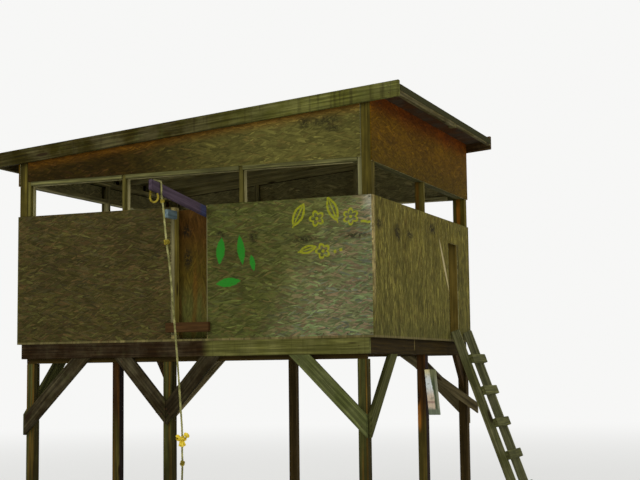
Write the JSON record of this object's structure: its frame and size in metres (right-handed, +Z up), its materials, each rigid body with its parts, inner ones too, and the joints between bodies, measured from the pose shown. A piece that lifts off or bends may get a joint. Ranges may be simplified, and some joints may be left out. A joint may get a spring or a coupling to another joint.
{
  "type": "tree house",
  "caption": "Raised timber play cabin on braced posts, with a lean-to roof, strand-board walls, open window bands, a leaning ladder and a knotted rope.",
  "frame": {"origin": "on the ground under the middle of the outline, measured without the rope", "axes": "+X to the right along the front wall, +Y from the front wall to the back wall, +Z up"},
  "size_m": [4.7202, 4.073, 4.0307],
  "materials": {
    "strand_board": "weathered oriented strand board, grey-green below and orange-brown above",
    "weathered_lumber": "weathered grey-green softwood",
    "dark_lumber": "damp dark brown softwood",
    "framing_lumber": "bare softwood, light brown",
    "post_wood": "brown softwood posts, stained by weather",
    "mossy_lumber": "mossy grey-green softwood",
    "painted_lumber": "worn violet paint on wood",
    "grey_board": "grey painted board",
    "floor_boarding": "bare plywood sheet",
    "rolled_roofing": "dark mineral-faced bitumen roofing",
    "rusty_steel": "rusted steel",
    "rope_fibre": "twisted yellowish-white rope"
  },
  "bodies": {
    "root": {"back_panel": "strand_board", "back_posts": "post_wood", "corner_posts": "post_wood", "door_stub": "painted_lumber", "eave_block": "weathered_lumber", "eave_boards": "weathered_lumber", "floor_beams": "dark_lumber", "floor_deck": "floor_boarding", "floor_joists": "dark_lumber", "front_panel_left": "strand_board", "front_panel_right": "strand_board", "front_posts": "post_wood", "hinge_plates": "rusty_steel", "kick_board": "dark_lumber", "knee_braces_back": "weathered_lumber", "knee_braces_front": "weathered_lumber", "knee_braces_side": "weathered_lumber", "ladder_rails": "mossy_lumber", "ladder_rungs": "mossy_lumber", "left_panel": "strand_board", "post_plaque": "grey_board", "rafters": "framing_lumber", "rake_boards": "weathered_lumber", "right_panel_at_door": "strand_board", "right_panel_far": "strand_board", "right_panel_near": "strand_board", "rim_back": "weathered_lumber", "rim_front": "weathered_lumber", "rim_left": "dark_lumber", "rim_right": "dark_lumber", "roof_deck": "strand_board", "roofing": "rolled_roofing", "rope": "rope_fibre", "rope_knots": "rope_fibre", "rope_outrigger": "painted_lumber", "rope_turn": "rope_fibre", "side_posts": "post_wood", "upper_panel_back": "strand_board", "upper_panel_front": "strand_board", "upper_panel_left": "strand_board", "upper_panel_right": "strand_board", "upper_plates": "framing_lumber", "wall_plates": "framing_lumber", "wall_studs": "framing_lumber", "window_studs": "framing_lumber"},
    "door_leaf": {"front_door": "strand_board", "hinge_straps": "rusty_steel"}
  },
  "joints": [
    {"name": "door_hinge", "type": "hinge", "parent": "root", "child": "door_leaf", "pos_m": [-0.41163, -0.9315, 2.43], "axis": [0, 0, 1], "range_deg": [0, 95]}
  ]
}
